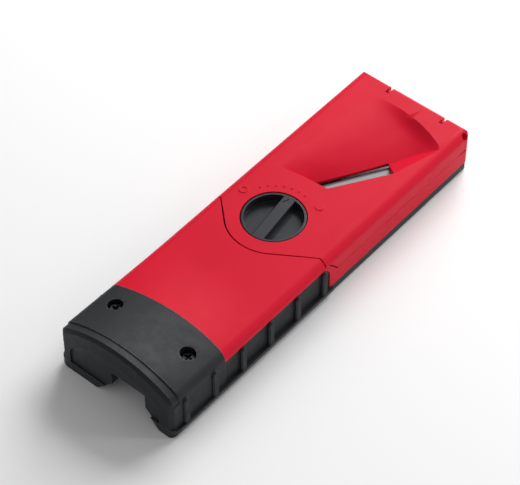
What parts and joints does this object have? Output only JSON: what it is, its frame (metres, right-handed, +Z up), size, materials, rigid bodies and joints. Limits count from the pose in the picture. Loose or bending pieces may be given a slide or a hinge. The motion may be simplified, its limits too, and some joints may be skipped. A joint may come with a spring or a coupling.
{
  "type": "plasterboard edge chamfering plane",
  "caption": "Hand plane that chamfers plasterboard edges: grooved sole, skewed blade, chip scoop and a hinged cover held shut by a quarter-turn knob.",
  "frame": {"origin": "on the resting plane, under the middle of the bounding box", "axes": "+Y towards the cutting end, -Y is the grip end, +Z up out of the covers, +X across"},
  "size_m": [0.0614, 0.19, 0.0302],
  "materials": {
    "red_plastic": "satin moulded ABS",
    "black_nylon": "matte glass-filled nylon",
    "soft_black": "fine-textured soft grip",
    "black_knob": "satin moulded",
    "blackened_steel": "blackened",
    "bright_steel": "zinc plated",
    "blade_steel": "ground"
  },
  "bodies": {
    "body": {"sole": "black_nylon", "end_plug": "black_nylon", "grip_cap": "soft_black", "cap_screws": "blackened_steel", "sole_screws": "blackened_steel", "rear_cover": "red_plastic", "side_grip_left": "soft_black", "side_grip_right": "soft_black", "lower_housing": "red_plastic", "hinge_pin": "bright_steel", "blade": "blade_steel", "blade_bed": "black_nylon", "blade_pins": "bright_steel", "lock_keeper": "black_nylon", "keeper_plate": "bright_steel", "keeper_screws": "bright_steel"},
    "cover": {"front_cover": "red_plastic", "knob_retainer": "bright_steel", "retainer_screws": "bright_steel", "knob_washer": "bright_steel", "blade_press": "bright_steel"},
    "knob": {"lock_knob": "black_knob", "lock_cam": "bright_steel", "cam_screws": "bright_steel"}
  },
  "joints": [
    {"name": "cover_open", "type": "hinge", "parent": "body", "child": "cover", "pos_m": [0, 0.0922, 0.0202], "axis": [-1, 0, 0], "range_deg": [0, 100]},
    {"name": "knob_turn", "type": "hinge", "parent": "cover", "child": "knob", "pos_m": [-0.0028, 0.0038, 0.019], "axis": [0, 0, 1], "range_deg": [-42, 72]}
  ]
}
